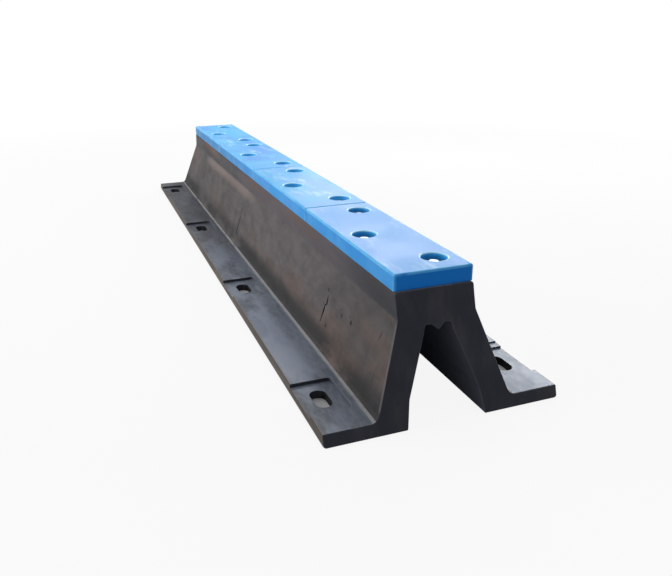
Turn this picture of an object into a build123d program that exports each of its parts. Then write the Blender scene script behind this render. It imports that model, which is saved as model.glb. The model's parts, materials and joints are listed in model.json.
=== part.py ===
from build123d import *
import math
import os

# An arch dock fender: one moulded rubber body on two slotted flanges, with a row of plastic
# face pads bolted to a steel plate that is bonded into the top of its head.
# X runs along the fender, Z is up, and the origin is the middle of the foot, on the ground.

# Rubber body
base_length = 2640.0            # along the foot
base_width = 600.0              # over both flanges
rubber_height = 298.0
end_slope = 16.5                # degrees that each end face leans back from upright
head_width = 199.0
head_side_height = 61.0         # straight side of the head, above the knee
leg_spread = 70.5               # how far each leg moves out between knee and flange
flange_thickness = 31.0
head_round = 8.0
knee_round = 20.0
leg_foot_round = 20.0
flange_top_round = 4.0
flange_bottom_round = 8.0

# Tunnel between the legs
tunnel_foot_half = 98.5
tunnel_step_half = 88.0
tunnel_step_height = 65.0
tunnel_throat_half = 37.0
tunnel_throat_height = 200.0
lobe_outer_half = 33.0
lobe_inner_half = 17.0
lobe_height = 218.0
rib_tip_height = 203.5          # the small rib that hangs between the two lobes
tunnel_foot_round = 4.0
tunnel_step_round = 40.0
tunnel_throat_round = 12.0
lobe_round = 6.0
rib_round = 4.0

# Anchor slots and the pockets that they lie in
slots_per_side = 4
slot_end_distance = 168.0       # from an end of the foot to the nearest slot's middle
slot_edge_distance = 54.0       # from a flange's outer edge to its row of slots
slot_length = 80.0
slot_width = 40.0
pocket_length = 150.0
pocket_depth = 9.5
pocket_inner_gap = 51.0         # from the slot's middle to the pocket's inner wall
pocket_corner = 12.0
ledge_length = 25.0             # second, shallower step behind the rear flange's first pocket
ledge_depth = 4.0

# Face pads
pad_count = 4
pad_joint = 1.0
pad_end_inset = 4.5             # from the end of the rubber's top to the first pad
pad_overhang = 0.5              # past each side of the rubber's head
pad_thickness = 40.0
pad_edge_chamfer = 4.0
bolts_per_pad = 3
bolt_end_distance = 78.5        # from a pad's end to its nearest bolt
bolt_row_half = 40.0            # the bolts stand in turn on one side and the other
counterbore_diameter = 63.0
counterbore_depth = 24.0

# Pad bolts, washers and the nuts welded under the head plate
bolt_diameter = 16.0
bolt_length = 45.0
bolt_head_height = 10.0
hex_across_flats = 24.0
washer_diameter = 30.0
washer_thickness = 3.0
washer_play = 1.0
hole_play = 2.0
nut_height = 14.8
bolt_turn = 17.0                # degrees between the heads of neighbouring bolts

# Bonded steel plates
head_plate_thickness = 12.0
head_plate_side_cover = 19.5
head_plate_end_cover = 20.0
flange_plate_width = 90.0
flange_plate_thickness = 8.0
flange_plate_rise = 7.0         # rubber under a flange plate
flange_plate_end_cover = 25.0
slot_lining = 5.0               # rubber between a slot and the window round it in the plate

# Two ragged cuts torn into the front leg, each a line of points that gives
# the distance from the +X end of the foot, the height and the width of the cut there
cut_depth = 8.0
first_cut = [(443, 166, 0), (438, 149, 7), (436, 141, 6), (444, 137, 6), (443, 117, 7),
             (444, 94, 5), (449, 86, 0)]
second_cut = [(1413, 176, 0), (1426, 158, 6), (1423, 132, 6), (1422, 100, 9), (1420, 71, 8),
              (1421, 62, 0)]

cut_past = 20.0                 # how far a cutting shape runs past the face it cuts

slope_run = math.tan(math.radians(end_slope))
top_length = base_length - 2 * slope_run * rubber_height
total_height = rubber_height + pad_thickness
knee_height = rubber_height - head_side_height
slot_pitch = (base_length - 2 * slot_end_distance) / (slots_per_side - 1)
slot_row_half = base_width / 2 - slot_edge_distance
pad_run = top_length - 2 * pad_end_inset
pad_length = (pad_run - (pad_count - 1) * pad_joint) / pad_count
pad_pitch = pad_length + pad_joint
pad_width = head_width + 2 * pad_overhang
bolt_pitch = (pad_length - 2 * bolt_end_distance) / (bolts_per_pad - 1)
head_plate_width = head_width - 2 * head_plate_side_cover
head_plate_bottom = rubber_height - head_plate_thickness
bolt_seat = total_height - counterbore_depth


def evenly_spaced(count, pitch):
    """Places of a row centred on zero, from the +X end."""
    return [(0.5 * (count - 1) - i) * pitch for i in range(count)]


def bolt_places(pad_x):
    """The middles of one pad's bolts: outer ones on the rear side, inner ones on the front side."""
    sides = [1 if i % 2 == 0 else -1 for i in range(bolts_per_pad)]
    rows = evenly_spaced(bolts_per_pad, bolt_pitch)
    return [(pad_x + x, side * bolt_row_half) for x, side in zip(rows, sides)]


def slot_places(side):
    return [(x, side * slot_row_half) for x in evenly_spaced(slots_per_side, slot_pitch)]


def rubber_section():
    """Half of the arch section as corners with their rounds, mirrored to the whole outline."""
    half_width = base_width / 2
    head_half = head_width / 2
    half = [
        (head_half, rubber_height, head_round),
        (head_half, knee_height, knee_round),
        (head_half + leg_spread, flange_thickness, leg_foot_round),
        (half_width, flange_thickness, flange_top_round),
        (half_width, 0, flange_bottom_round),
        (tunnel_foot_half, 0, tunnel_foot_round),
        (tunnel_step_half, tunnel_step_height, tunnel_step_round),
        (tunnel_throat_half, tunnel_throat_height, tunnel_throat_round),
        (lobe_outer_half, lobe_height, lobe_round),
        (lobe_inner_half, lobe_height, lobe_round),
    ]
    rib = (0, rib_tip_height, rib_round)
    corners = half + [rib] + [(-y, z, r) for y, z, r in reversed(half)]
    outline = FilletPolyline(
        *[(y, z) for y, z, r in corners],
        radius=[r for y, z, r in corners],
        close=True,
    )
    return Plane.YZ * make_face(outline)


def sloped_ends():
    """The side view of the fender as a block: longer at the foot than at the head."""
    foot = base_length / 2
    head = top_length / 2
    side_view = Polyline(
        (-foot, 0), (foot, 0), (head, rubber_height), (-head, rubber_height), close=True
    )
    return extrude(Plane.XZ * make_face(side_view), base_width, both=True)


def fender_blank():
    return extrude(rubber_section(), base_length / 2, both=True) & sloped_ends()


def anchor_pocket(x, side, length, depth):
    """A recess from a pocket's inner wall out past the flange's edge, cut down from the top."""
    inner_wall = slot_row_half - pocket_inner_gap
    width = 2 * (base_width / 2 - inner_wall)
    middle = side * (inner_wall + width / 2)
    outline = RectangleRounded(length, width, pocket_corner)
    floor = flange_thickness - depth
    return Pos(x, middle, floor) * extrude(outline, depth + cut_past)


def slot_cut(x, y, bottom, height):
    return Pos(x, y, bottom) * extrude(SlotOverall(slot_length, slot_width), height)


def anchor_cuts(side):
    cuts = []
    for x, y in slot_places(side):
        cuts.append(anchor_pocket(x, side, pocket_length, pocket_depth))
        cuts.append(slot_cut(x, y, -cut_past, flange_thickness + 2 * cut_past))
    return cuts


def rear_ledge():
    """The shallow second step behind the first pocket of the rear flange."""
    first_x = slot_places(1)[0][0]
    length = pocket_length / 2 + ledge_length
    return anchor_pocket(first_x - length / 2, 1, length, ledge_depth)


def hex_prism(height):
    return extrude(RegularPolygon(hex_across_flats / 2, 6, major_radius=False), height)


def pad_bolt():
    """A hex bolt with its head's underside at zero."""
    shank = Pos(0, 0, -bolt_length) * extrude(Circle(bolt_diameter / 2), bolt_length)
    return shank + hex_prism(bolt_head_height)


def pad_washer():
    """A flat washer with its underside at zero."""
    ring = Circle(washer_diameter / 2) - Circle((bolt_diameter + washer_play) / 2)
    return extrude(ring, washer_thickness)


def weld_nut():
    """A hex nut that hangs from zero down."""
    return Pos(0, 0, -nut_height) * (
        hex_prism(nut_height) - extrude(Circle(bolt_diameter / 2), nut_height)
    )


def all_bolt_places():
    pads = evenly_spaced(pad_count, pad_pitch)
    return [place for pad_x in pads for place in bolt_places(pad_x)]


def head_plate_blank():
    length = top_length - 2 * head_plate_end_cover
    outline = Rectangle(length, head_plate_width)
    return Pos(0, 0, head_plate_bottom) * extrude(outline, head_plate_thickness)


def head_plate():
    bore = Circle((bolt_diameter + hole_play) / 2)
    drill = extrude(bore, head_plate_thickness + 2 * cut_past)
    drills = [Pos(x, y, head_plate_bottom - cut_past) * drill for x, y in all_bolt_places()]
    return head_plate_blank() - drills


def nut_beds():
    bed = Pos(0, 0, head_plate_bottom - nut_height) * hex_prism(nut_height)
    return [Pos(x, y, 0) * bed for x, y in all_bolt_places()]


def flange_plate(side):
    """A flat bar with a window round each anchor slot, which the rubber lines."""
    bar = Rectangle(base_length - 2 * flange_plate_end_cover, flange_plate_width)
    window = Rectangle(slot_length + 2 * slot_lining, slot_width + 2 * slot_lining)
    windows = [Pos(x, 0) * window for x, y in slot_places(side)]
    plate = extrude(bar - windows, flange_plate_thickness)
    return Pos(0, side * slot_row_half, flange_plate_rise) * plate


def leg_plane():
    """The front leg's outer face: its X along the fender, its Y up the leg, its Z out of it."""
    knee = Vector(0, -head_width / 2, knee_height)
    foot = Vector(0, -head_width / 2 - leg_spread, flange_thickness)
    up = (knee - foot).normalized()
    return Plane(origin=foot, x_dir=(1, 0, 0), z_dir=Vector(1, 0, 0).cross(up))


def torn_cut(points):
    """A slit with pointed ends along a line of points on the front leg's face."""
    rise = (knee_height - flange_thickness) / math.hypot(knee_height - flange_thickness, leg_spread)
    line = [
        (base_length / 2 - distance, (height - flange_thickness) / rise, width / 2)
        for distance, height, width in points
    ]
    near_side = [(x + half, up) for x, up, half in line]
    far_side = [(x - half, up) for x, up, half in reversed(line[1:-1])]
    outline = Polyline(*near_side, *far_side, close=True)
    return leg_plane() * Pos(0, 0, -cut_depth) * extrude(make_face(outline), cut_depth + cut_past)


def fender_body(front_steel, rear_steel):
    """The rubber, moulded round its bonded steel."""
    body = fender_blank()
    body = body - anchor_cuts(-1) - anchor_cuts(1) - rear_ledge()
    body = body - [torn_cut(first_cut), torn_cut(second_cut)]
    return body - head_plate_blank() - nut_beds() - front_steel - rear_steel


def face_pad(pad_x):
    """One plastic pad with bevelled edges and a counterbored hole for each of its bolts."""
    block = extrude(Rectangle(pad_length, pad_width), pad_thickness)
    block = chamfer(block.edges().group_by(Axis.Z)[1:], pad_edge_chamfer)
    block = Pos(pad_x, 0, rubber_height) * block
    through = Circle((bolt_diameter + hole_play) / 2)
    drill = Pos(0, 0, rubber_height - cut_past) * extrude(through, total_height)
    recess = Pos(0, 0, bolt_seat) * extrude(Circle(counterbore_diameter / 2), total_height)
    return block - [Pos(x, y, 0) * (drill + recess) for x, y in bolt_places(pad_x)]


def set_of(piece, places, height, turn=0.0):
    """Copies of one fastener at each place, as separate solids of one node."""
    copies = [
        Pos(x, y, height) * Rot(0, 0, turn * i) * piece for i, (x, y) in enumerate(places)
    ]
    return Compound(children=copies)


def single(shape):
    """The one solid that a cut or a join leaves."""
    solids = shape.solids()
    if len(solids) != 1:
        raise ValueError(f"expected one solid and found {len(solids)}")
    return solids[0]


def all_nodes():
    head_steel = single(head_plate())
    front_steel = single(flange_plate(-1))
    rear_steel = single(flange_plate(1))
    nodes = {
        "fender_body": single(fender_body(front_steel, rear_steel)),
        "head_plate": head_steel,
        "flange_plate_front": front_steel,
        "flange_plate_rear": rear_steel,
    }
    bolt, washer, nut = single(pad_bolt()), single(pad_washer()), single(weld_nut())
    for number, pad_x in enumerate(evenly_spaced(pad_count, pad_pitch), start=1):
        places = bolt_places(pad_x)
        nodes[f"face_pad_{number}"] = single(face_pad(pad_x))
        nodes[f"pad_{number}_washers"] = set_of(washer, places, bolt_seat)
        nodes[f"pad_{number}_bolts"] = set_of(bolt, places, bolt_seat + washer_thickness, bolt_turn)
        nodes[f"pad_{number}_nuts"] = set_of(nut, places, head_plate_bottom)
    return nodes


def main():
    os.makedirs("parts", exist_ok=True)
    for name, shape in all_nodes().items():
        export_step(shape, f"parts/{name}.step")
        print(f"{name}: {len(shape.solids())} solids, {shape.volume / 1e6:.3f} litres")


main()
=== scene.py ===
import json
import math

import bmesh
import bpy
from mathutils import Matrix, Quaternion, Vector, noise

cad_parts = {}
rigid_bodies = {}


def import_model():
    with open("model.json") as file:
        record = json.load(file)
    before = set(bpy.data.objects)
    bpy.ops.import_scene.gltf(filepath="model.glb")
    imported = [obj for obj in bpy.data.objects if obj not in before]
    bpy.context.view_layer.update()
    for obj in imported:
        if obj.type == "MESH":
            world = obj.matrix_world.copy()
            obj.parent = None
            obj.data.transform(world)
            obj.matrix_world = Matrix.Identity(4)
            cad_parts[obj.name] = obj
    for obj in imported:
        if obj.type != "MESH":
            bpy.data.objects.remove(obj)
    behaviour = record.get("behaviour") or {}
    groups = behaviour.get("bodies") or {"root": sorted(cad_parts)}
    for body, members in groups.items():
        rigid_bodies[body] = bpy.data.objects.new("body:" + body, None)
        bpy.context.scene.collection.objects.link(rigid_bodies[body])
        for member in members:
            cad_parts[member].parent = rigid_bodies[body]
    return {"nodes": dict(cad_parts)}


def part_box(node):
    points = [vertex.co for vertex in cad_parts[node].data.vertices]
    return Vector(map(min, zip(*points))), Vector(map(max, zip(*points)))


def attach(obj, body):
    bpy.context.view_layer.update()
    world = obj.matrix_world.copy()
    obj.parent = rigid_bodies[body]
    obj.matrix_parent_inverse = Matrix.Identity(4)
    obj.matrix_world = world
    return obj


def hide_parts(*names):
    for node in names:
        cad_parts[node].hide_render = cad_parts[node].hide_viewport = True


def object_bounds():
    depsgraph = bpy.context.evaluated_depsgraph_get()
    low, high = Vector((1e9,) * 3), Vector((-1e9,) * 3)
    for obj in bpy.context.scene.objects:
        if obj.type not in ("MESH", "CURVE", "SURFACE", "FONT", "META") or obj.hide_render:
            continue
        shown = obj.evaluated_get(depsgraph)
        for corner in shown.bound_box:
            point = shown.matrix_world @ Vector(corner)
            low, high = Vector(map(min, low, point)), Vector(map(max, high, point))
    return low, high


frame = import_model()
cadLow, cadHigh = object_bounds()
nodes = frame["nodes"]
xAxis, zAxis = Vector((1, 0, 0)), Vector((0, 0, 1))

# Short ways to make nodes and objects


# gives each named input of a node its value, or links it to a socket
def fill(tree, node, inputs):
    for name, value in inputs.items():
        if isinstance(value, bpy.types.NodeSocket):
            tree.links.new(value, node.inputs[name])
        else:
            node.inputs[name].default_value = value


def put(tree, kind, inputs=None, **settings):
    node = tree.nodes.new("ShaderNode" + kind)
    for name, value in settings.items():
        setattr(node, name, value)
    fill(tree, node, inputs or {})
    return node


def maths(tree, operation, first, second=0.0):
    return put(tree, "Math", {0: first, 1: second}, operation=operation).outputs[0]


def times(tree, first, second):
    return maths(tree, "MULTIPLY", first, second)


# what a share leaves of one
def rest(tree, share):
    return maths(tree, "SUBTRACT", 1.0, share)


# from the first colour to the second: a Mix node has its colours in inputs 6 and 7 and output 2
def blend(tree, share, first, second):
    return put(tree, "Mix", {0: share, 6: first, 7: second}, data_type="RGBA").outputs[2]


# goes softly from start, at the value low, to end, at the value high
def between(tree, value, low, high, start=0.0, end=1.0):
    return put(tree, "MapRange", {
        "Value": value, "From Min": low, "From Max": high, "To Min": start, "To Max": end,
    }, interpolation_type="SMOOTHSTEP").outputs["Result"]


# start where a mask is zero, and end where it is one
def fromMask(tree, mask, start, end):
    return between(tree, mask, 0.0, 1.0, start, end)


# one from low to high, and zero further away than soft
def band(tree, value, low, high, soft):
    rise = between(tree, value, low - soft, low)
    return times(tree, rise, between(tree, value, high, high + soft, 1.0, 0.0))


# a place whose patterns come out finer by scale on each axis, turned by degrees
def stretched(tree, place, scale, turn=(0.0, 0.0, 0.0)):
    turn = tuple(math.radians(angle) for angle in turn)
    return put(tree, "Mapping", {"Vector": place, "Rotation": turn, "Scale": scale}).outputs[0]


def addObject(name, data):
    thing = bpy.data.objects.new(name, data)
    bpy.context.scene.collection.objects.link(thing)
    return thing


# a mesh made of a bmesh, which is used up
def asMesh(bm, name):
    mesh = bpy.data.meshes.new(name)
    bm.to_mesh(mesh)
    bm.free()
    return mesh


def asPiece(bm, name):
    return addObject(name, asMesh(bm, name))


# Camera, floor and light, in metres unless a note says otherwise

cameraView = {
    "place": (2.4796, -0.7063, 0.8486),
    "aim": (0.8021, -0.0742, 0.1498),
    "roll": -0.37,            # degrees
    "lens": 36.554,           # mm
    "sensorWidth": 36.0,      # mm
    "reach": 100.0,
}

floorLook = {
    "size": 60.0,
    "colour": (0.6, 0.6, 0.61, 1.0),
    "roughness": 0.9,
    "specular": 0.1,
    "glowNear": 0.9,          # share that the camera sees as plain white, beside the fender
    "glowFar": 1.0,
    "nearEdge": 1.4,          # from the middle of the fender
    "farEdge": 4.0,
    # The camera finds the floor in its own shade under each flange, from shadeFrom to shadeTo
    # across, and reflections find it shaded under the whole fender.
    "shadeFrom": 0.2,
    "shadeTo": 0.296,
    "shadeEnd": 1.31,         # half the shaded length
    "shadeSoft": 0.003,
}

worldLook = {
    "colour": (1.0, 1.0, 1.0, 1.0),
    "fill": 0.3,              # strength that lights the object
    "backdrop": 1.0,          # strength that the camera and the reflections see
}

# power in watts
lamps = {
    "skyPanel": {
        "place": (-0.3, 0.3, 3.4), "aim": (0.0, 0.0, 0.2), "size": (4.0, 2.4), "power": 35.0,
    },
    "sidePanel": {
        "place": (-0.6, -3.2, 1.5), "aim": (0.2, 0.0, 0.2), "size": (3.6, 1.6), "power": 75.0,
    },
    "rimPanel": {
        "place": (-1.8, 1.95, 1.75), "aim": (0.8, 0.1, 0.2), "size": (2.8, 1.7), "power": 65.0,
    },
}


def aimAt(thing, place, aim, roll=0.0):
    thing.location = place
    turn = (Vector(aim) - Vector(place)).to_track_quat("-Z", "Y")
    thing.rotation_mode = "QUATERNION"
    thing.rotation_quaternion = turn @ Quaternion((0, 0, 1), math.radians(roll))


def addCamera():
    data = bpy.data.cameras.new("photoCamera")
    data.lens = cameraView["lens"]
    data.sensor_width = cameraView["sensorWidth"]
    data.clip_end = cameraView["reach"]
    camera = addObject("photoCamera", data)
    aimAt(camera, cameraView["place"], cameraView["aim"], cameraView["roll"])
    bpy.context.scene.camera = camera
    print("camera in place")


def addLamp(name, settings):
    data = bpy.data.lights.new(name, "AREA")
    data.shape = "RECTANGLE"
    data.size, data.size_y = settings["size"]
    data.energy = settings["power"]
    aimAt(addObject(name, data), settings["place"], settings["aim"])


# one for what the camera, a reflection or clear matter sees, and zero for light on the object
def seenShare(tree, path):
    share = maths(tree, "MAXIMUM", path["Is Camera Ray"], path["Is Glossy Ray"])
    return maths(tree, "MAXIMUM", share, path["Is Transmission Ray"])


def setWorld():
    world = bpy.data.worlds.new("softRoom")
    world.use_nodes = True
    bpy.context.scene.world = world
    tree = world.node_tree
    back = tree.nodes["Background"]
    level = put(tree, "MapRange", {
        "Value": seenShare(tree, put(tree, "LightPath").outputs),
        "To Min": worldLook["fill"], "To Max": worldLook["backdrop"],
    })
    tree.links.new(level.outputs["Result"], back.inputs["Strength"])
    back.inputs["Color"].default_value = worldLook["colour"]


# how white the floor is to the camera: a little shaded beside the fender, and dark under it
def floorGlow(tree, path):
    look = floorLook
    place = put(tree, "TexCoord").outputs["Object"]
    reach = put(tree, "VectorMath", {0: place}, operation="LENGTH").outputs["Value"]
    glow = put(tree, "MapRange", {
        "Value": reach, "From Min": look["nearEdge"], "From Max": look["farEdge"],
        "To Min": look["glowNear"], "To Max": look["glowFar"],
    }).outputs["Result"]
    parts = put(tree, "SeparateXYZ", {0: place}).outputs
    across = maths(tree, "ABSOLUTE", parts["Y"])
    along = maths(tree, "ABSOLUTE", parts["X"])
    soft = look["shadeSoft"]
    inner = times(tree, path["Is Camera Ray"], look["shadeFrom"])
    covered = between(tree, maths(tree, "SUBTRACT", across, inner), -soft, 0.0)
    covered = times(tree, covered, between(tree, across, look["shadeTo"] + soft, look["shadeTo"]))
    covered = times(tree, covered, between(tree, along, look["shadeEnd"] + soft, look["shadeEnd"]))
    return times(tree, glow, rest(tree, covered))


def addFloor():
    bm = bmesh.new()
    bmesh.ops.create_grid(bm, x_segments=1, y_segments=1, size=floorLook["size"] / 2)
    floor = asPiece(bm, "floor")
    material = bpy.data.materials.new("paleFloor")
    material.use_nodes = True
    tree = material.node_tree
    shader = tree.nodes["Principled BSDF"]
    fill(tree, shader, {
        "Base Color": floorLook["colour"], "Roughness": floorLook["roughness"],
        "Specular IOR Level": floorLook["specular"],
    })
    glow = put(tree, "Emission")
    path = put(tree, "LightPath").outputs
    share = times(tree, seenShare(tree, path), floorGlow(tree, path))
    mix = put(tree, "MixShader", {"Fac": share, 1: shader.outputs[0], 2: glow.outputs[0]})
    tree.links.new(mix.outputs[0], tree.nodes["Material Output"].inputs["Surface"])
    floor.data.materials.append(material)


# Mesh helpers

mergeGap = 1e-6               # m, points closer than this become one
sliceGap = 1e-5               # m, points closer than this to a slice count as on it


# applies the modifiers of a piece
def bake(piece):
    graph = bpy.context.evaluated_depsgraph_get()
    shaped = bpy.data.meshes.new_from_object(piece.evaluated_get(graph))
    old = piece.data
    piece.modifiers.clear()
    piece.data = shaped
    bpy.data.meshes.remove(old)


# applies a boolean with the tool, which is used up
def carve(piece, tool, operation="DIFFERENCE"):
    step = piece.modifiers.new("carve", "BOOLEAN")
    step.operation = operation
    step.solver = "EXACT"
    step.object = tool
    bake(piece)
    bpy.data.objects.remove(tool)


# turns a profile of radius and height round the upright axis
def turned(bm, profile, segments):
    verts = [bm.verts.new((radius, 0, height)) for radius, height in profile]
    edges = [bm.edges.new(pair) for pair in zip(verts, verts[1:])]
    bmesh.ops.spin(bm, geom=verts + edges, cent=(0, 0, 0), axis=zAxis, angle=math.tau,
                   steps=segments, use_merge=True)
    bmesh.ops.remove_doubles(bm, verts=bm.verts, dist=mergeGap)
    bmesh.ops.recalc_face_normals(bm, faces=bm.faces)


def mark(faces, layer, level):
    for face in faces:
        for loop in face.loops:
            loop[layer] = (level, level, level, 1)


# a named mask on the mesh, which the finish reads
def newMask(bm, name, level=0.0):
    layer = bm.loops.layers.float_color.new(name)
    mark(bm.faces, layer, level)
    return layer


def roundEdges(bm, edges, size, segments, wearAndHighlight):
    made = bmesh.ops.bevel(bm, geom=edges, offset=size, offset_type="OFFSET", segments=segments,
                           profile=0.5, affect="EDGES", clamp_overlap=False, material=-1)
    mark(made["faces"], wearAndHighlight, 1.0)


def smoothShade(piece, angle):
    piece.data.shade_smooth()
    piece.data.set_sharp_from_angle(angle=math.radians(angle))
    weigh = piece.modifiers.new("evenNormals", "WEIGHTED_NORMAL")
    weigh.keep_sharp = True


def finishPiece(piece, slot, material, *replaced):
    piece.data.materials.clear()
    piece.data.materials.append(material)
    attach(piece, "root")
    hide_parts(*replaced)


# The moulded rubber: sizes in metres and angles in degrees

rubberShape = {
    "flatAngle": 0.5,         # faces that turn less than this become one
    "endSlope": 16.5,
    "endLeeway": 0.01,        # how far an end face's normal may be off its slope
    "endRound": 0.0025,
    "endSegments": 3,
    "rimRound": 0.0015,
    "rimSegments": 2,
    "rimFloor": 0.0155,       # no rim is rounded below this height
    "rimCeiling": 0.0315,
    "rimTurn": 40.0,          # the least turn of an edge that is rounded
    "flangeStart": 0.19,      # from the middle to where the pockets may begin
    "stationEnd": 0.02,       # the body is sliced from this far inside one end to the other
    "stationGap": 0.06,
    "levels": (0.05, 0.08, 0.11, 0.14, 0.17, 0.2, 0.22, 0.25, 0.27),
    "wave": 0.0009,
    "waveLength": 0.22,
    "footRise": 0.02,         # the waves fade out towards the foot and the head's top
    "topHeight": 0.2975,
    "flatBelow": 0.0156,      # no waves round the space for the flange plates
    "flatAcross": 0.2995,
    "recessAcross": 0.0815,   # half width of the space that the head plate fills
    "recessFloor": 0.26,
    "sharpAngle": 32.0,
}

# The outer face of a leg, from the knee under the head down to the flange
legShape = {
    "kneeAcross": 0.0995,
    "kneeHeight": 0.237,
    "footAcross": 0.17,
    "footHeight": 0.031,
}

# Chips out of the front leg, each from one point to another, with its width at the end.
# A point is a distance from the +X end of the foot and a height. No chip may touch another.
rubberChips = (
    ((0.4530, 0.1780), (0.4495, 0.1735), 0.008),
    ((0.4680, 0.1321), (0.4632, 0.1277), 0.005),
    ((0.3468, 0.1615), (0.3440, 0.1583), 0.006),
    ((0.3360, 0.1532), (0.3291, 0.1453), 0.008),
    ((0.2880, 0.1653), (0.2840, 0.1625), 0.006),
    ((0.2760, 0.1550), (0.2705, 0.1496), 0.010),
    ((0.1164, 0.1988), (0.1221, 0.1681), 0.006),
    ((0.0952, 0.2294), (0.0889, 0.2147), 0.005),
    ((0.4076, 0.0957), (0.4030, 0.0906), 0.008),
)
chipShape = {
    "depthShare": 0.3,        # of a chip's width
    "fineness": 2,
}


def isEndFace(face):
    slope, leeway = math.radians(rubberShape["endSlope"]), rubberShape["endLeeway"]
    leans = abs(abs(face.normal.x) - math.cos(slope)) < leeway
    return leans and abs(face.normal.z - math.sin(slope)) < leeway and abs(face.normal.y) < leeway


# the edges round the two end faces
def endEdges(bm):
    ends = {face for face in bm.faces if isEndFace(face)}
    return [edge for edge in bm.edges if len([f for f in edge.link_faces if f in ends]) == 1]


# an outward edge of a flange's top, a pocket or a slot
def isRim(edge):
    low, high = rubberShape["rimFloor"], rubberShape["rimCeiling"]
    if not all(low < v.co.z < high and abs(v.co.y) > rubberShape["flangeStart"] for v in edge.verts):
        return False
    if not edge.is_convex or edge.calc_face_angle() < math.radians(rubberShape["rimTurn"]):
        return False
    return not any(isEndFace(face) for face in edge.link_faces)


def sliceUp(bm, place, normal):
    bmesh.ops.bisect_plane(bm, geom=bm.verts[:] + bm.edges[:] + bm.faces[:], dist=sliceGap,
                           plane_co=place, plane_no=normal)


# how much of the waves a point takes: none where the hidden steel lies against the rubber
def waveShare(place):
    shape = rubberShape
    across = abs(place.y)
    if place.z > shape["recessFloor"] and across < shape["recessAcross"]:
        return 0.0
    if place.z < shape["flatBelow"] and across < shape["flatAcross"]:
        return 0.0
    foot = min(1.0, place.z / shape["footRise"])
    top = min(1.0, max(0.0, (shape["topHeight"] - place.z) / shape["footRise"]))
    return foot * top


def roundRubber(bm):
    shape = rubberShape
    wearAndHighlight = newMask(bm, "wearAndHighlight")
    rims = [edge for edge in bm.edges if isRim(edge)]
    roundEdges(bm, rims, shape["rimRound"], shape["rimSegments"], wearAndHighlight)
    roundEdges(bm, endEdges(bm), shape["endRound"], shape["endSegments"], wearAndHighlight)


# sinks the faces by slow waves, on slices that are close enough to carry them
def waveRubber(bm):
    shape = rubberShape
    half = cadHigh.x - shape["stationEnd"]
    count = int(2 * half / shape["stationGap"])
    for step in range(1, count):
        sliceUp(bm, (-half + 2 * half * step / count, 0, 0), xAxis)
    for level in shape["levels"]:
        sliceUp(bm, (0, 0, level), zAxis)
    bm.normal_update()
    for vert in bm.verts:
        swell = 0.5 + 0.5 * noise.noise(vert.co / shape["waveLength"])      # from zero to one
        vert.co -= vert.normal * shape["wave"] * waveShare(vert.co) * swell


def buildRubber(material):
    bm = bmesh.new()
    bm.from_mesh(nodes["fender_body"].data)
    bmesh.ops.remove_doubles(bm, verts=bm.verts, dist=mergeGap)
    bmesh.ops.dissolve_limit(bm, angle_limit=math.radians(rubberShape["flatAngle"]), verts=bm.verts,
                             edges=bm.edges)
    roundRubber(bm)
    waveRubber(bm)
    piece = asPiece(bm, "rubber_fender_body")
    carve(piece, chipTools())
    smoothShade(piece, rubberShape["sharpAngle"])
    finishPiece(piece, "moulded_rubber", material, "fender_body")
    print("rubber body:", len(piece.data.vertices), "vertices")


# a point on the front leg's outer face, and the way out of that face
def legPoint(distance, height):
    rise = legShape["kneeHeight"] - legShape["footHeight"]
    share = (height - legShape["footHeight"]) / rise
    across = legShape["footAcross"] + share * (legShape["kneeAcross"] - legShape["footAcross"])
    return Vector((cadHigh.x - distance, -across, height))


def legOutward():
    rise = legShape["kneeHeight"] - legShape["footHeight"]
    spread = legShape["footAcross"] - legShape["kneeAcross"]
    return Vector((0, -rise, spread)).normalized()


# flattened balls that lie along the chips in the leg's face
def chipTools():
    bm = bmesh.new()
    outward = legOutward()
    for start, end, width in rubberChips:
        first, last = legPoint(*start), legPoint(*end)
        along = (last - first).normalized()
        turn = Matrix((along, outward.cross(along), outward)).transposed().to_4x4()
        reach = ((last - first).length + width) / 2
        size = Matrix.Diagonal((reach, width / 2, width * chipShape["depthShare"], 1))
        matrix = Matrix.Translation((first + last) / 2) @ turn @ size
        bmesh.ops.create_icosphere(bm, subdivisions=chipShape["fineness"], radius=1.0, matrix=matrix)
    newMask(bm, "wearAndHighlight")
    return asPiece(bm, "chipTools")


# The plastic face pads: sizes in metres and angles in degrees

padShape = {
    "count": 4,
    "edgeRound": 0.006,
    "edgeSegments": 5,
    "boreRadius": 0.0315,
    "boreDepth": 0.024,
    "rimRound": 0.004,
    "rimSteps": 5,
    "rimSlope": (0.25, 0.995),    # the upright part of the normals of a rim's faces
    "holeRadius": 0.009,
    "over": 0.002,                # how far the boring tool runs past the pad
    "spinSteps": 72,
    "boltEnd": 0.0785,            # from a pad's end to the nearest bolt
    "boltRow": 0.04,              # from the pad's middle line to a row of bolts
    "sharpAngle": 30.0,
}


# two bolts in one row near the ends, and one between them in the other
def boltPlaces(low, high):
    first, last = high.x - padShape["boltEnd"], low.x + padShape["boltEnd"]
    row = padShape["boltRow"]
    return [Vector((first, row, 0)), Vector(((first + last) / 2, -row, 0)), Vector((last, row, 0))]


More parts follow.
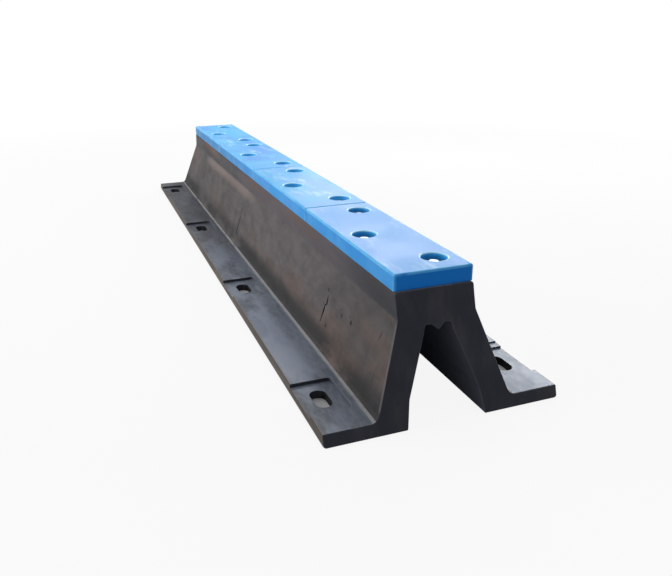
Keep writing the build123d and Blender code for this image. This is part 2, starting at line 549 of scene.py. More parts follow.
# what a counterbore takes away, with its rounded rim and the bolt's hole
def boreTool(place, bottom, top):
    radius, rim, over = padShape["boreRadius"], padShape["rimRound"], padShape["over"]
    profile = [(0, top + over), (radius + rim, top + over)]
    for step in range(padShape["rimSteps"] + 1):
        turn = math.radians(90 + 90 * step / padShape["rimSteps"])
        profile.append((radius + rim + rim * math.cos(turn), top - rim + rim * math.sin(turn)))
    seat = top - padShape["boreDepth"]
    hole = padShape["holeRadius"]
    profile += [(radius, seat), (hole, seat), (hole, bottom - over), (0, bottom - over)]
    bm = bmesh.new()
    turned(bm, profile, padShape["spinSteps"])
    bmesh.ops.translate(bm, verts=bm.verts, vec=place)
    # the rims' faces, which the finish paints pale as a glint
    least, most = padShape["rimSlope"]
    rims = [face for face in bm.faces if least < abs(face.normal.z) < most]
    mark(rims, newMask(bm, "rim"), 1.0)
    newMask(bm, "wearAndHighlight")
    newMask(bm, "machined", 1.0)
    return asPiece(bm, "boreTool")


def buildPad(number, material):
    low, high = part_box(f"face_pad_{number}")
    middle = (low + high) / 2
    bm = bmesh.new()
    bmesh.ops.create_cube(bm, size=1.0)
    bmesh.ops.scale(bm, verts=bm.verts, vec=high - low)
    bmesh.ops.translate(bm, verts=bm.verts, vec=middle)
    newMask(bm, "machined")
    newMask(bm, "rim")
    upper = [edge for edge in bm.edges if any(v.co.z > middle.z for v in edge.verts)]
    roundEdges(bm, upper, padShape["edgeRound"], padShape["edgeSegments"], newMask(bm, "wearAndHighlight"))
    piece = asPiece(bm, f"plastic_pad_{number}")
    for place in boltPlaces(low, high):
        carve(piece, boreTool(place, low.z, high.z))
    smoothShade(piece, padShape["sharpAngle"])
    finishPiece(piece, "pad_plastic", material, f"face_pad_{number}")


# Bolts and washers: sizes in metres and angles in degrees

boltShape = {
    "acrossFlats": 0.024,
    "headHeight": 0.010,
    "crownRadius": 0.0112,    # of the flat top, inside the crown's slope
    "crownDrop": 0.0016,      # how far the slope falls towards a corner
    "shankRadius": 0.008,
    "shankLength": 0.045,
    "tipChamfer": 0.0015,
    "over": 0.001,            # how far the crown's tool runs past the head
    "headSteps": 72,
    "shankSteps": 48,
    "turn": 17.0,             # between neighbouring heads
    "sharpAngle": 25.0,
}

washerShape = {
    "outerRadius": 0.015,
    "innerRadius": 0.0085,
    "thickness": 0.003,
    "edgeRound": 0.0004,
    "spinSteps": 64,
}


# the round tool that leaves a hexagon's corners sloped at the top
def crownTool(corner):
    height, over, crown = boltShape["headHeight"], boltShape["over"], boltShape["crownRadius"]
    past = corner + over
    drop = boltShape["crownDrop"] * (past - crown) / (corner - crown)
    bm = bmesh.new()
    turned(bm, [(0, height), (crown, height), (past, height - drop), (past, -over), (0, -over)],
           boltShape["headSteps"])
    return asPiece(bm, "crownTool")


# the shank, which starts inside the head
def shankTool():
    radius, tip, length = boltShape["shankRadius"], boltShape["tipChamfer"], boltShape["shankLength"]
    top = boltShape["headHeight"] / 2
    bm = bmesh.new()
    turned(bm, [(0, top), (radius, top), (radius, tip - length), (radius - tip, -length), (0, -length)],
           boltShape["shankSteps"])
    return asPiece(bm, "shankTool")


# a bolt that hangs from the underside of its head
def buildBoltMesh():
    halfSide = math.radians(30)       # half of what a side of a hexagon takes of the turn
    corner = boltShape["acrossFlats"] / 2 / math.cos(halfSide)
    height = boltShape["headHeight"]
    bm = bmesh.new()
    bmesh.ops.create_cone(bm, cap_ends=True, segments=6, radius1=corner, radius2=corner, depth=height)
    bmesh.ops.rotate(bm, verts=bm.verts, matrix=Matrix.Rotation(halfSide, 3, "Z"))
    bmesh.ops.translate(bm, verts=bm.verts, vec=(0, 0, height / 2))
    head = asPiece(bm, "boltHead")
    carve(head, crownTool(corner), "INTERSECT")
    carve(head, shankTool(), "UNION")
    mesh = head.data
    bpy.data.objects.remove(head)
    return mesh


def buildWasherMesh():
    inner, outer = washerShape["innerRadius"], washerShape["outerRadius"]
    thick, edge = washerShape["thickness"], washerShape["edgeRound"]
    bm = bmesh.new()
    turned(bm, [
        (inner, 0), (outer - edge, 0), (outer, edge), (outer, thick - edge), (outer - edge, thick),
        (inner + edge, thick), (inner, thick - edge), (inner, 0),
    ], washerShape["spinSteps"])
    return asMesh(bm, "washerMesh")


# the bolts or the washers of one pad, raised above its counterbores' floors by lift
def buildSet(number, kind, sourceMesh, slot, material, lift=0.0, turn=0.0):
    node = f"pad_{number}_{kind}"
    padLow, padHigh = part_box(f"face_pad_{number}")
    seat = padHigh.z - padShape["boreDepth"] + lift
    bm = bmesh.new()
    for index, place in enumerate(boltPlaces(padLow, padHigh)):
        before = set(bm.verts)
        bm.from_mesh(sourceMesh)
        fresh = [vert for vert in bm.verts if vert not in before]
        spin = Matrix.Rotation(math.radians(turn * index), 4, "Z")
        matrix = Matrix.Translation((place.x, place.y, seat)) @ spin
        bmesh.ops.transform(bm, matrix=matrix, verts=fresh)
    piece = asPiece(bm, f"steel_{node}")
    smoothShade(piece, boltShape["sharpAngle"])
    finishPiece(piece, slot, material, node)


# Shader effects that several finishes share

effects = {
    "cloudRoughness": 0.6,
    "up": (0.75, 0.97),       # the part of a normal at which a face starts to count, and counts in full
    "end": (0.55, 0.93),
    "front": (0.5, 0.9),
    "grainDetail": 3.0,
    "waveDetail": 2.0,
    "strokeDetail": 1.0,
    "breakDetail": 2.0,
    "breaks": (0.5, 0.62),    # the noise at which a stroke sets in, and is there in full
    "wearDetail": 4.0,
}


def newGroup(name, inputs, outputs):
    group = bpy.data.node_groups.new(name, "ShaderNodeTree")
    for label, kind, value in inputs:
        socket = group.interface.new_socket(name=label, in_out="INPUT", socket_type="NodeSocket" + kind)
        if value is not None:
            socket.default_value = value
    for label, kind in outputs:
        group.interface.new_socket(name=label, in_out="OUTPUT", socket_type="NodeSocket" + kind)
    return group, group.nodes.new("NodeGroupInput").outputs, group.nodes.new("NodeGroupOutput").inputs


def use(tree, group, inputs):
    return put(tree, "Group", inputs, node_tree=group).outputs


def noiseValue(tree, place, scale, detail, **more):
    return put(tree, "TexNoise", {"Vector": place, "Scale": scale, "Detail": detail, **more}).outputs["Fac"]


# soft patches
def makeCloudGroup():
    group, given, out = newGroup("cloudPatches", [
        ("Place", "Vector", None), ("Scale", "Float", 5.0), ("Low", "Float", 0.4),
        ("High", "Float", 0.65), ("Detail", "Float", 5.0),
    ], [("Mask", "Float")])
    clouds = noiseValue(group, given["Place"], given["Scale"], given["Detail"],
                        Roughness=effects["cloudRoughness"])
    group.links.new(between(group, clouds, given["Low"], given["High"]), out["Mask"])
    return group


# which way a face looks: up, towards either end, towards the front side, and its slope
def makeZoneGroup():
    group, _, out = newGroup("faceZones", [], [
        ("Up", "Float"), ("End", "Float"), ("Front", "Float"), ("Slope", "Float"),
    ])
    parts = put(group, "SeparateXYZ", {0: put(group, "NewGeometry").outputs["Normal"]}).outputs
    group.links.new(between(group, parts["Z"], *effects["up"]), out["Up"])
    group.links.new(parts["Z"], out["Slope"])
    along = maths(group, "ABSOLUTE", parts["X"])
    group.links.new(between(group, along, *effects["end"]), out["End"])
    frontward = times(group, parts["Y"], -1.0)
    group.links.new(between(group, frontward, *effects["front"]), out["Front"])
    return group


# height of a moulded or machined surface's fine grain, with slow waves under it
def makeGrainGroup():
    group, given, out = newGroup("fineGrain", [
        ("Place", "Vector", None), ("Grain", "Float", 400.0), ("Waves", "Float", 12.0),
        ("Share", "Float", 0.3),
    ], [("Height", "Float")])
    fine = noiseValue(group, given["Place"], given["Grain"], effects["grainDetail"])
    slow = noiseValue(group, given["Place"], given["Waves"], effects["waveDetail"])
    height = put(group, "Mix", {0: given["Share"], 2: slow, 3: fine})
    group.links.new(height.outputs[0], out["Height"])
    return group


# thin broken scratches: the narrow middle of a noise that is stretched beforehand
def makeStrokeGroup():
    group, given, out = newGroup("thinStrokes", [
        ("Place", "Vector", None), ("Scale", "Float", 6.0), ("Width", "Float", 0.012),
        ("Breaks", "Float", 9.0), ("Amount", "Float", 0.5),
    ], [("Mask", "Float")])
    lines = noiseValue(group, given["Place"], given["Scale"], effects["strokeDetail"])
    off = maths(group, "ABSOLUTE", maths(group, "SUBTRACT", lines, 0.5))
    line = between(group, off, 0.0, given["Width"], 1.0, 0.0)
    breaks = noiseValue(group, given["Place"], given["Breaks"], effects["breakDetail"])
    kept = times(group, line, between(group, breaks, *effects["breaks"]))
    group.links.new(times(group, kept, given["Amount"]), out["Mask"])
    return group


# broken wear on the edges that were rounded, painted lighter so that they also stand for highlights
def makeEdgeWearAndHighlightGroup():
    group, given, out = newGroup("edgeWearAndHighlight", [
        ("Place", "Vector", None), ("Scale", "Float", 25.0), ("Low", "Float", 0.35),
        ("High", "Float", 0.6), ("Amount", "Float", 0.6),
    ], [("Mask", "Float")])
    wearAndHighlightMask = put(group, "Attribute", attribute_name="wearAndHighlight")
    rough = noiseValue(group, given["Place"], given["Scale"], effects["wearDetail"])
    kept = times(group, wearAndHighlightMask.outputs["Fac"], between(group, rough, given["Low"], given["High"]))
    group.links.new(times(group, kept, given["Amount"]), out["Mask"])
    return group


cloudPatches = makeCloudGroup()
faceZones = makeZoneGroup()
fineGrain = makeGrainGroup()
thinStrokes = makeStrokeGroup()
edgeWearAndHighlight = makeEdgeWearAndHighlightGroup()


def patchy(tree, place, scale, low, high, detail=5.0, stretch=None, share=None):
    if stretch:
        place = stretched(tree, place, stretch)
    mask = use(tree, cloudPatches, {
        "Place": place, "Scale": scale, "Low": low, "High": high, "Detail": detail,
    })["Mask"]
    return mask if share is None else times(tree, mask, share)


def strokes(tree, place, stretch, turn, scale, width, amount):
    return use(tree, thinStrokes, {
        "Place": stretched(tree, place, stretch, turn), "Scale": scale, "Width": width, "Amount": amount,
    })["Mask"]


# the bump of a finish's grain, into which the strokes are cut
def grainBump(tree, place, surface, cut=None):
    height = use(tree, fineGrain, {
        "Place": place, "Grain": surface["grain"], "Waves": surface["waves"],
        "Share": surface["grainShare"],
    })["Height"]
    if cut is not None:
        height = maths(tree, "SUBTRACT", height, cut)
    return put(tree, "Bump", {
        "Height": height, "Strength": surface["bump"], "Distance": surface["bumpDepth"],
    }).outputs[0]


def newMaterial(name):
    material = bpy.data.materials.new(name)
    material.use_nodes = True
    tree = material.node_tree
    place = put(tree, "TexCoord").outputs["Object"]
    return material, tree, tree.nodes["Principled BSDF"], place


# where a point lies on the fender, which way its face looks, and the patterns of its finish
def whereAt(tree, place, patterns):
    parts = put(tree, "SeparateXYZ", {0: place}).outputs
    zones = use(tree, faceZones, {})
    return {
        "place": place, "along": parts["X"], "height": parts["Z"],
        "side": maths(tree, "ABSOLUTE", parts["Y"]), "across": parts["Y"],
        "up": zones["Up"], "end": zones["End"], "front": zones["Front"], "slope": zones["Slope"],
        "patterns": patterns,
    }


def pattern(tree, at, name):
    return patchy(tree, at["place"], **at["patterns"][name])


# The look of the rubber: colours, and how it shines

rubberLook = {
    "legDark": (0.090, 0.081, 0.082, 1),
    "legLight": (0.130, 0.116, 0.119, 1),
    "legNear": (0.066, 0.061, 0.064, 1),
    "brown": (0.136, 0.097, 0.082, 1),
    "kneeHighlight": (0.210, 0.165, 0.155, 1),
    "smudge": (0.022, 0.022, 0.024, 1),
    "headDark": (0.043, 0.044, 0.050, 1),
    "headFar": (0.098, 0.088, 0.100, 1),
    "stain": (0.138, 0.088, 0.068, 1),
    "flangeDark": (0.064, 0.074, 0.096, 1),
    "flangeLight": (0.178, 0.210, 0.280, 1),
    "flangeFar": (0.040, 0.038, 0.042, 1),
    "flangeRearSheen": (0.160, 0.245, 0.385, 1),
    "speck": (0.170, 0.190, 0.225, 1),
    "scratch": (0.260, 0.280, 0.320, 1),
    "pocketWallShade": (0.026, 0.028, 0.036, 1),
    "pocketFrontLight": (0.100, 0.115, 0.145, 1),
    "slotShade": (0.010, 0.010, 0.011, 1),
    "edgeDust": (0.100, 0.076, 0.058, 1),
    "filletDustAndHighlight": (0.290, 0.280, 0.282, 1),
    "endLine": (0.190, 0.175, 0.180, 1),
    "end": (0.034, 0.038, 0.052, 1),
    "endSmear": (0.082, 0.077, 0.082, 1),
    "tunnelFillLight": (0.115, 0.125, 0.160, 1),
    "torn": (0.010, 0.010, 0.011, 1),
    "wearAndHighlight": (0.150, 0.150, 0.160, 1),
    "wearScale": 22.0,
    "wearAmount": 0.3,
    "roughness": (0.55, 0.68),
    "specular": 0.12,
    "flangeCoat": 1.0,
    "legCoat": 0.05,
    "darkCoat": 0.66,         # share of the coat that is left between the mottle's light patches,
    "plainCoat": 0.85,        # between the specks,
    "farCoat": 0.12,          # and at the far end
    "coatRoughness": 0.32,
    "grain": 500.0,
    "waves": 5.0,
    "grainShare": 0.6,
    "bump": 0.14,
    "bumpDepth": 0.0015,
}

rubberPatterns = {
    "patches": {"stretch": (0.5, 1.0, 1.0), "scale": 2.6, "low": 0.3, "high": 0.7, "detail": 3.0},
    "browns": {
        "stretch": (0.8, 3.0, 3.5), "scale": 1.8, "low": 0.46, "high": 0.7, "detail": 3.0, "share": 0.85,
    },
    "grime": {
        "stretch": (1.3, 1.0, 1.2), "scale": 7.0, "low": 0.42, "high": 0.7, "detail": 4.0, "share": 0.25,
    },
    "scuffs": {
        "stretch": (0.5, 1.0, 1.0), "scale": 30.0, "low": 0.34, "high": 0.66, "detail": 4.0, "share": 0.32,
    },
    "dirt": {"stretch": (0.5, 1.0, 1.0), "scale": 7.0, "low": 0.32, "high": 0.56, "share": 0.9},
    "endMarks": {"stretch": (9.0, 2.0, 2.2), "scale": 2.2, "low": 0.5, "high": 0.66, "share": 0.6},
    "rust": {
        "stretch": (1.2, 8.0, 9.0), "scale": 1.5, "low": 0.42, "high": 0.64, "detail": 3.0, "share": 0.75,
    },
    "mottle": {"stretch": (0.55, 1.3, 1.0), "scale": 11.0, "low": 0.38, "high": 0.62, "detail": 6.0},
    "specks": {"stretch": (0.4, 1.0, 1.0), "scale": 90.0, "low": 0.4, "high": 0.66},
    "smears": {"stretch": (1.0, 6.0, 2.5), "scale": 2.6, "low": 0.45, "high": 0.68, "share": 0.42},
    # the pattern of the fillet's dust and painted highlight
    "dust": {"scale": 12.0, "low": 0.2, "high": 0.55, "share": 0.85},
    "roughness": {"stretch": (0.4, 1.0, 1.0), "scale": 12.0, "low": 0.3, "high": 0.7, "detail": 3.0},
}

rubberStrokes = {
    "scratches": {
        "stretch": (2.0, 9.0, 2.0), "turn": (0.0, 0.0, 35.0), "scale": 9.0, "width": 0.012, "amount": 0.7,
    },
    "grooves": {
        "stretch": (1.2, 6.0, 6.0), "turn": (0.0, 12.0, 0.0), "scale": 7.0, "width": 0.01, "amount": 0.15,
    },
}

# Where the patterns lie. A zone holds where it starts and where it has its full share, and a strip
# holds its two sides and how softly it ends. They are in metres, but for the fillet's slope.
rubberZones = {
    # heights
    "smudge": (0.034, 0.06, 0.04),
    "underKnee": (0.225, 0.236, 0.03),
    "leg": (0.055, 0.222, 0.012),
    "headStart": (0.232, 0.243),
    "underPad": (0.247, 0.284),
    "tornTop": (0.236, 0.23),
    "fillet": (0.0316, 0.046, 0.003),
    "pocket": (0.0318, 0.0312),
    "slot": (0.0218, 0.0212),
    "dustyEdge": (0.004, 0.02),
    # along the fender
    "kneeAlong": (-0.75, -0.15, 0.25),
    "nearLeg": (0.8, 1.15),
    "farLeg": (-0.3, -1.2),
    "darkHead": (1.2, 0.75),
    "farHead": (0.3, -0.65),
    "nearFlange": (1.0, 1.2),
    "lightFlange": (0.72, 0.98, 0.15),
    "farFlange": (0.7, -0.6),
    "glossy": (-0.65, 0.68),
    "tornReach": (1.25, 1.24),
    # from the near end face
    "endMarks": (0.16, 0.05),
    "endLine": (0.011, 0.003),
    # across the fender
    "innerFlangeShade": (0.240, 0.210),
    "rearFlange": (0.1, 0.15),
    "recess": (0.193, 0.2915, 0.001),    # the pockets and the slots
    "flangeEdge": (0.291, 0.299),
    "filletStart": (0.15, 0.155),
    # under the outer face of a leg
    "tornDepth": (0.002, 0.012, 0.0008),
    "insideDepth": (0.030, 0.034),
    # the upright part of the normal
    "filletSlope": (0.85, 0.96, 0.03),
}

# How much a zone of the same name, or a colour, covers at most, where that isn't all
rubberShares = {
    "nearLeg": 0.6,
    "farLeg": 0.8,
    "kneeHighlight": 0.75,
    "endLine": 0.5,
    "farHead": 0.8,
    "nearStain": 0.3,         # of the stains, at the near end
    "lightStrip": 0.8,
    "innerFlangeShade": 0.6,
    "nearFlange": 0.4,
    "rearSheen": 0.55,
    "specks": 0.45,
    "farFlange": 0.7,
    "dustyEdge": 0.6,
}


# zero where a zone starts, and its share where it ends
def intoZone(tree, at, measure, name):
    return between(tree, at[measure], *rubberZones[name], 0.0, rubberShares.get(name, 1.0))


def onStrip(tree, at, measure, name):
    return band(tree, at[measure], *rubberZones[name])


# how deep a point lies under the outer face of a leg
def legDepth(tree, at):
    outward = legOutward()
    across, upward = -outward.y, outward.z
    face = across * legShape["footAcross"] + upward * legShape["footHeight"]
    out = maths(tree, "ADD", times(tree, at["side"], across), times(tree, at["height"], upward))
    return maths(tree, "SUBTRACT", face, out)


# how far a point lies from the leaning end face at +X
def endDistance(tree, at):
    slope = math.radians(rubberShape["endSlope"])
    out = maths(tree, "ADD", times(tree, at["along"], math.cos(slope)),
                times(tree, at["height"], math.sin(slope)))
    return maths(tree, "SUBTRACT", cadHigh.x * math.cos(slope), out)


# warm grey dust over black, brown patches, grime, scuffs, smudges near the foot and the near end, and a
# painted highlight under the knee
def legColour(tree, at):
    look = rubberLook
    colour = blend(tree, pattern(tree, at, "patches"), look["legDark"], look["legLight"])
    colour = blend(tree, intoZone(tree, at, "along", "nearLeg"), colour, look["legNear"])
    colour = blend(tree, intoZone(tree, at, "along", "farLeg"), colour, look["legDark"])
    colour = blend(tree, pattern(tree, at, "browns"), colour, look["brown"])
    for name in ("grime", "scuffs"):
        colour = blend(tree, pattern(tree, at, name), colour, look["smudge"])
    # painted highlight: a light band under the knee, where the leg's top would catch the light
    knee = times(tree, onStrip(tree, at, "height", "underKnee"), onStrip(tree, at, "along", "kneeAlong"))
    colour = blend(tree, times(tree, knee, rubberShares["kneeHighlight"]), colour, look["kneeHighlight"])
    low = times(tree, onStrip(tree, at, "height", "smudge"), pattern(tree, at, "dirt"))
    colour = blend(tree, low, colour, look["smudge"])
    marks = times(tree, pattern(tree, at, "endMarks"), intoZone(tree, at, "fromEnd", "endMarks"))
    colour = blend(tree, marks, colour, look["smudge"])
    line = times(tree, intoZone(tree, at, "fromEnd", "endLine"), onStrip(tree, at, "height", "leg"))
    return blend(tree, line, colour, look["endLine"])


# darker than the legs towards both ends, with brown stains under the pads
def headColour(tree, at):
    look = rubberLook
    colour = blend(tree, intoZone(tree, at, "along", "darkHead"), look["headDark"], look["headFar"])
    colour = blend(tree, intoZone(tree, at, "along", "farHead"), colour, look["headDark"])
    stain = times(tree, pattern(tree, at, "rust"), intoZone(tree, at, "height", "underPad"))
    kept = between(tree, at["along"], *rubberZones["darkHead"], rubberShares["nearStain"], 1.0)
    return blend(tree, times(tree, stain, kept), colour, look["stain"])


# blue grey mottling with scratches, darker towards both ends, with painted shade next to the legs and a
# painted sky sheen, lighter and bluer, on the rear flange
def flangeColour(tree, at, mottle, specks):
    look, share = rubberLook, rubberShares
    colour = blend(tree, mottle, look["flangeDark"], look["flangeLight"])
    light = times(tree, onStrip(tree, at, "along", "lightFlange"), share["lightStrip"])
    colour = blend(tree, light, colour, look["flangeLight"])
    # painted shade: the flanges darker next to the legs, standing in for the dark legs they reflect
    colour = blend(tree, intoZone(tree, at, "side", "innerFlangeShade"), colour, look["flangeDark"])
    rear = intoZone(tree, at, "across", "rearFlange")
    near = times(tree, intoZone(tree, at, "along", "nearFlange"), rest(tree, rear))
    colour = blend(tree, near, colour, look["flangeDark"])
    # painted sheen: the rear flange lighter and bluer, as the sky's reflection
    colour = blend(tree, times(tree, rear, share["rearSheen"]), colour, look["flangeRearSheen"])
    colour = blend(tree, times(tree, specks, share["specks"]), colour, look["speck"])
    colour = blend(tree, intoZone(tree, at, "along", "farFlange"), colour, look["flangeFar"])
    scratches = strokes(tree, at["place"], **rubberStrokes["scratches"])
    return blend(tree, scratches, colour, look["scratch"])


# painted shade: dark walls in the slots and across the pockets; painted light: lighter walls along the
# pockets, where they face the front
def recessLightAndShade(tree, at, colour):
    look = rubberLook
    inner = onStrip(tree, at, "side", "recess")
    pocket = times(tree, inner, intoZone(tree, at, "height", "pocket"))
    slot = times(tree, inner, intoZone(tree, at, "height", "slot"))
    pocketWallLightAndShade = blend(tree, at["front"], look["pocketWallShade"], look["pocketFrontLight"])
    return blend(tree, slot, blend(tree, pocket, colour, pocketWallLightAndShade), look["slotShade"])


# dust that lies in the fillet between leg and flange, with a painted highlight along it
def filletDustAndHighlight(tree, at):
    foot = times(tree, onStrip(tree, at, "height", "fillet"), onStrip(tree, at, "slope", "filletSlope"))
    foot = times(tree, foot, intoZone(tree, at, "side", "filletStart"))
    return times(tree, foot, pattern(tree, at, "dust"))


# painted shade: the walls of the cuts and chips in the legs nearly black
def tornWalls(tree, at):
    torn = times(tree, onStrip(tree, at, "depth", "tornDepth"), intoZone(tree, at, "reach", "tornReach"))
    return times(tree, torn, intoZone(tree, at, "height", "tornTop"))


def rubberColour(tree, at, mottle, specks, dust):
    look = rubberLook
    head = intoZone(tree, at, "height", "headStart")
    colour = blend(tree, head, legColour(tree, at), headColour(tree, at))
    # painted light: the faces inside the tunnel lighter and bluer than their shade would leave them
    colour = blend(tree, intoZone(tree, at, "depth", "insideDepth"), colour, look["tunnelFillLight"])
    colour = recessLightAndShade(tree, at, colour)
    colour = blend(tree, at["up"], colour, flangeColour(tree, at, mottle, specks))
    edge = times(tree, intoZone(tree, at, "side", "flangeEdge"), intoZone(tree, at, "height", "dustyEdge"))
    colour = blend(tree, edge, colour, look["edgeDust"])
    ends = blend(tree, pattern(tree, at, "smears"), look["end"], look["endSmear"])
    colour = blend(tree, at["end"], colour, ends)
    # dust and a painted highlight along the fillet
    colour = blend(tree, dust, colour, look["filletDustAndHighlight"])
    wearAndHighlightMask = use(tree, edgeWearAndHighlight, {
        "Place": at["place"], "Scale": look["wearScale"], "Amount": look["wearAmount"],
    })["Mask"]
    # wear and a painted highlight on the rounded edges
    colour = blend(tree, wearAndHighlightMask, colour, look["wearAndHighlight"])
    # painted shade in the cuts and chips
    return blend(tree, tornWalls(tree, at), colour, look["torn"])


# the flanges shine, more in their light patches and towards the near end
def rubberCoat(tree, at, mottle, specks, dust):
    look = rubberLook
    coat = fromMask(tree, at["up"], look["legCoat"], look["flangeCoat"])
    coat = times(tree, coat, fromMask(tree, mottle, look["darkCoat"], 1.0))
    coat = times(tree, coat, fromMask(tree, specks, look["plainCoat"], 1.0))
    coat = times(tree, coat, between(tree, at["along"], *rubberZones["glossy"], look["farCoat"], 1.0))
    coat = times(tree, coat, fromMask(tree, at["end"], 1.0, 0.0))
    # no coat where the fillet's dust and painted highlight lie
    return times(tree, coat, rest(tree, dust))


def makeRubber():
    look = rubberLook
    material, tree, shader, place = newMaterial("mouldedRubber")
    at = whereAt(tree, place, rubberPatterns)
    at["depth"] = legDepth(tree, at)
    at["fromEnd"] = endDistance(tree, at)
    at["reach"] = maths(tree, "ABSOLUTE", at["along"])
    # dust holds the fillet's mask: dust with a painted highlight
    mottle, specks, dust = pattern(tree, at, "mottle"), pattern(tree, at, "specks"), filletDustAndHighlight(tree, at)
    colour = rubberColour(tree, at, mottle, specks, dust)
    rough = fromMask(tree, pattern(tree, at, "roughness"), *look["roughness"])
    coat = rubberCoat(tree, at, mottle, specks, dust)
    bump = grainBump(tree, place, look, strokes(tree, place, **rubberStrokes["grooves"]))
    fill(tree, shader, {
        "Base Color": colour, "Roughness": rough, "Specular IOR Level": look["specular"],
        "Coat Weight": coat, "Coat Roughness": look["coatRoughness"], "Normal": bump,
    })
    return material


# The look of the plastic: colours, and how it shines

plasticLook = {
    "pure": (0.003, 0.215, 0.760, 1),
    "sideFilm": (0.100, 0.560, 0.860, 1),
    "sideFar": (0.040, 0.200, 0.430, 1),
    # the tops' scuffed haze, with a painted sky sheen in it
    "nearFilmAndSheen": (0.175, 0.465, 0.840, 1),
    "farFilmAndSheen": (0.190, 0.600, 0.880, 1),
    "smear": (0.560, 0.850, 0.970, 1),
    "bareFilm": (0.055, 0.440, 0.800, 1),
    "boreUpperLit": (0.070, 0.500, 0.960, 1),
    "boreNearLowShade": (0.035, 0.310, 0.640, 1),
    "boreFarLowLit": (0.090, 0.520, 0.880, 1),
    # painted glint on the counterbores' rims
    "rim": (0.420, 0.790, 0.990, 1),
    # wear and painted highlights on the rounded edges
    "wearAndHighlight": (0.140, 0.580, 0.980, 1),
    "endEdgeHighlight": (0.080, 0.430, 0.920, 1),
    "wearScale": 18.0,
    "wearRange": (0.2, 0.55),     # the noise at which wear sets in, and is there in full
    "wearAmount": 0.8,
    "nearFilmAndSheenLeast": 0.44,        # how much the film covers between its clouds
    "farFilmAndSheenLeast": 0.22,
    "filmAndSheenMost": 0.66,             # and in them
    "sideDust": (0.22, 0.38),     # how much the front side's dust covers, outside its patches and in them
    "farShade": 0.7,
    "scuffShare": 0.5,
    "roughness": (0.42, 0.6),
    "specular": 0.15,
    "topCoat": 0.12,
    "sideCoat": 0.06,
    "endCoat": 0.1,               # share of it that is left on the ends
    "edgeCoat": 0.35,
    "rimCoat": 0.6,
    "coatRoughness": 0.22,
    "grain": 350.0,
    "waves": 9.0,
    "grainShare": 0.15,
    "bump": 0.12,
    "bumpDepth": 0.001,
}

plasticPatterns = {
    "clouds": {"scale": 6.0, "low": 0.3, "high": 0.7},
    "bare": {
        "stretch": (1.5, 6.0, 1.0), "scale": 1.6, "low": 0.46, "high": 0.62, "detail": 3.0, "share": 0.6,
    },
    "smears": {"stretch": (5.0, 16.0, 1.0), "scale": 1.4, "low": 0.52, "high": 0.75, "share": 0.45},
    "dust": {"scale": 10.0, "low": 0.3, "high": 0.7},
}

plasticScuffs = {
    "stretch": (2.0, 8.0, 2.0), "turn": (0.0, 0.0, 25.0), "scale": 8.0, "width": 0.008, "amount": 0.5,
}

# where a zone starts and where it holds in full, in metres
plasticZones = {
    "seam": (0.62, 0.5),          # along the fender, where the near pad's film ends
    "farSide": (0.5, -0.8),       # along the fender
    "boreShade": (0.335, 0.326),  # heights
}


# the pads' blue with smears, dust on the front sides, and on the tops a scuffed haze with a painted sky
# sheen
def padColour(tree, at, clouds):
    look, up, front = plasticLook, at["up"], at["front"]
    beyond = between(tree, at["along"], *plasticZones["seam"])
    filmAndSheen = blend(tree, beyond, look["nearFilmAndSheen"], look["farFilmAndSheen"])
    least = fromMask(tree, beyond, look["nearFilmAndSheenLeast"], look["farFilmAndSheenLeast"])
    share = times(tree, up, fromMask(tree, clouds, least, look["filmAndSheenMost"]))
    colour = blend(tree, share, look["pure"], filmAndSheen)
    bare = times(tree, pattern(tree, at, "bare"), times(tree, beyond, up))
    colour = blend(tree, bare, colour, look["bareFilm"])
    colour = blend(tree, times(tree, pattern(tree, at, "smears"), up), colour, look["smear"])
    dust = times(tree, front, fromMask(tree, pattern(tree, at, "dust"), *look["sideDust"]))
    colour = blend(tree, dust, colour, look["sideFilm"])
    far = between(tree, at["along"], *plasticZones["farSide"], 0.0, look["farShade"])
    return blend(tree, times(tree, front, far), colour, look["sideFar"])


# painted light and shade on the wall of a counterbore: lighter than the pad's own blue, and on the near pad
# darker lower down
def boreLightAndShade(tree, at):
    look, zone = plasticLook, plasticZones
    low = blend(tree, between(tree, at["along"], *zone["seam"]), look["boreNearLowShade"], look["boreFarLowLit"])
    return blend(tree, between(tree, at["height"], *zone["boreShade"]), look["boreUpperLit"], low)


# the pads shine a little, and more on their worn edges and the rims of the counterbores
def plasticCoat(tree, at, wearAndHighlightMask, rim):
    look = plasticLook
    coat = fromMask(tree, at["up"], look["sideCoat"], look["topCoat"])
    coat = times(tree, coat, fromMask(tree, at["end"], 1.0, look["endCoat"]))
    coat = maths(tree, "MAXIMUM", coat, times(tree, wearAndHighlightMask, look["edgeCoat"]))
    return maths(tree, "MAXIMUM", coat, times(tree, rim, look["rimCoat"]))


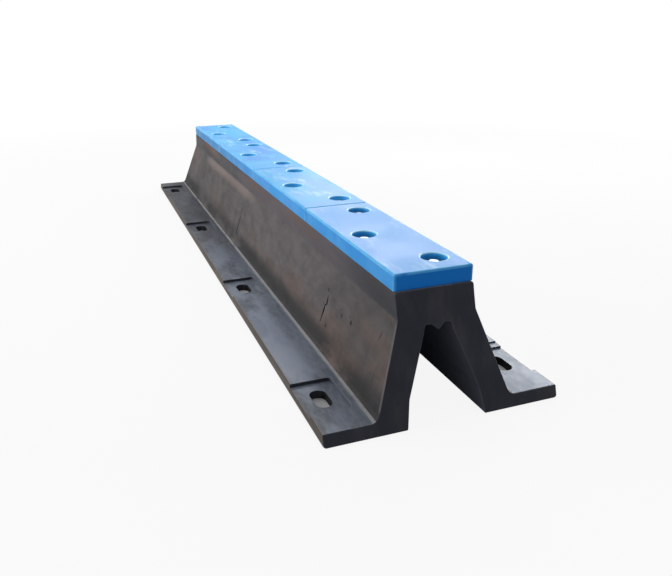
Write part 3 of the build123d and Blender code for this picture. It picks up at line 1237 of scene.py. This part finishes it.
def makePlastic():
    look = plasticLook
    material, tree, shader, place = newMaterial("padPlastic")
    at = whereAt(tree, place, plasticPatterns)
    clouds = pattern(tree, at, "clouds")
    bored = put(tree, "Attribute", attribute_name="machined").outputs["Fac"]
    colour = blend(tree, bored, padColour(tree, at, clouds), boreLightAndShade(tree, at))
    # painted glint: the rims of the counterbores pale
    rim = put(tree, "Attribute", attribute_name="rim").outputs["Fac"]
    colour = blend(tree, rim, colour, look["rim"])
    least, most = look["wearRange"]
    wearAndHighlightMask = use(tree, edgeWearAndHighlight, {
        "Place": place, "Scale": look["wearScale"], "Low": least, "High": most,
        "Amount": look["wearAmount"],
    })["Mask"]
    # wear and a painted highlight on the pads' rounded edges, lighter on the ends' edges
    colour = blend(tree, wearAndHighlightMask, colour, blend(tree, at["end"], look["wearAndHighlight"], look["endEdgeHighlight"]))
    scuffs = times(tree, strokes(tree, place, **plasticScuffs), at["up"])
    colour = blend(tree, times(tree, scuffs, look["scuffShare"]), colour, look["smear"])
    fill(tree, shader, {
        "Base Color": colour, "Roughness": fromMask(tree, clouds, *look["roughness"]),
        "Specular IOR Level": look["specular"], "Coat Weight": plasticCoat(tree, at, wearAndHighlightMask, rim),
        "Coat Roughness": look["coatRoughness"], "Normal": grainBump(tree, place, look, scuffs),
    })
    return material


# The look of the steels

steelLooks = {
    "boltSteel": {
        "bright": (0.88, 0.88, 0.87, 1), "dull": (0.66, 0.65, 0.64, 1), "roughness": (0.22, 0.42),
        "metallic": 1.0, "scale": 60.0,
    },
    "washerSteel": {
        "bright": (0.80, 0.80, 0.80, 1), "dull": (0.52, 0.52, 0.52, 1), "roughness": (0.3, 0.5),
        "metallic": 1.0, "scale": 60.0,
    },
    "bondedSteel": {
        "bright": (0.10, 0.10, 0.11, 1), "dull": (0.06, 0.055, 0.05, 1), "roughness": (0.5, 0.7),
        "metallic": 0.0, "scale": 20.0,
    },
}

# what the steels have in common
steelSurface = {
    "clouds": {"low": 0.35, "high": 0.7},
    "specks": {"low": 0.6, "high": 0.75, "share": 0.4},
    "speckFineness": 6,       # times the clouds' scale
    "grain": 900.0,
    "grainShare": 0.5,
    "bump": 0.15,
    "bumpDepth": 0.0004,
}


# steel with duller clouds and specks over a fine grain
def makeSteel(name):
    look, surface = steelLooks[name], steelSurface
    scale = look["scale"]
    material, tree, shader, place = newMaterial(name)
    clouds = patchy(tree, place, scale, **surface["clouds"])
    colour = blend(tree, clouds, look["bright"], look["dull"])
    specks = patchy(tree, place, scale * surface["speckFineness"], **surface["specks"])
    fill(tree, shader, {
        "Base Color": blend(tree, specks, colour, look["dull"]),
        "Roughness": fromMask(tree, clouds, *look["roughness"]), "Metallic": look["metallic"],
        "Normal": grainBump(tree, place, {**surface, "waves": scale}),
    })
    return material


# gives a CAD mesh its material, and leaves its shape as it is
def dress(node, material):
    mesh = nodes[node].data
    mesh.materials.clear()
    mesh.materials.append(material)


addCamera()
setWorld()
addFloor()
for name, settings in lamps.items():
    addLamp(name, settings)
print("floor, world and lamps in place")

rubber = makeRubber()
plastic = makePlastic()
steels = {name: makeSteel(name) for name in steelLooks}
print("finishes made")

for name in nodes:
    dress(name, steels["bondedSteel"])
buildRubber(rubber)
boltMesh = buildBoltMesh()
washerMesh = buildWasherMesh()
for number in range(1, padShape["count"] + 1):
    buildPad(number, plastic)
    buildSet(number, "bolts", boltMesh, "bolt_steel", steels["boltSteel"],
             lift=washerShape["thickness"], turn=boltShape["turn"])
    buildSet(number, "washers", washerMesh, "washer_steel", steels["washerSteel"])
print("pads, bolts and washers built")

scene = bpy.context.scene
scene.view_settings.view_transform = "Standard"
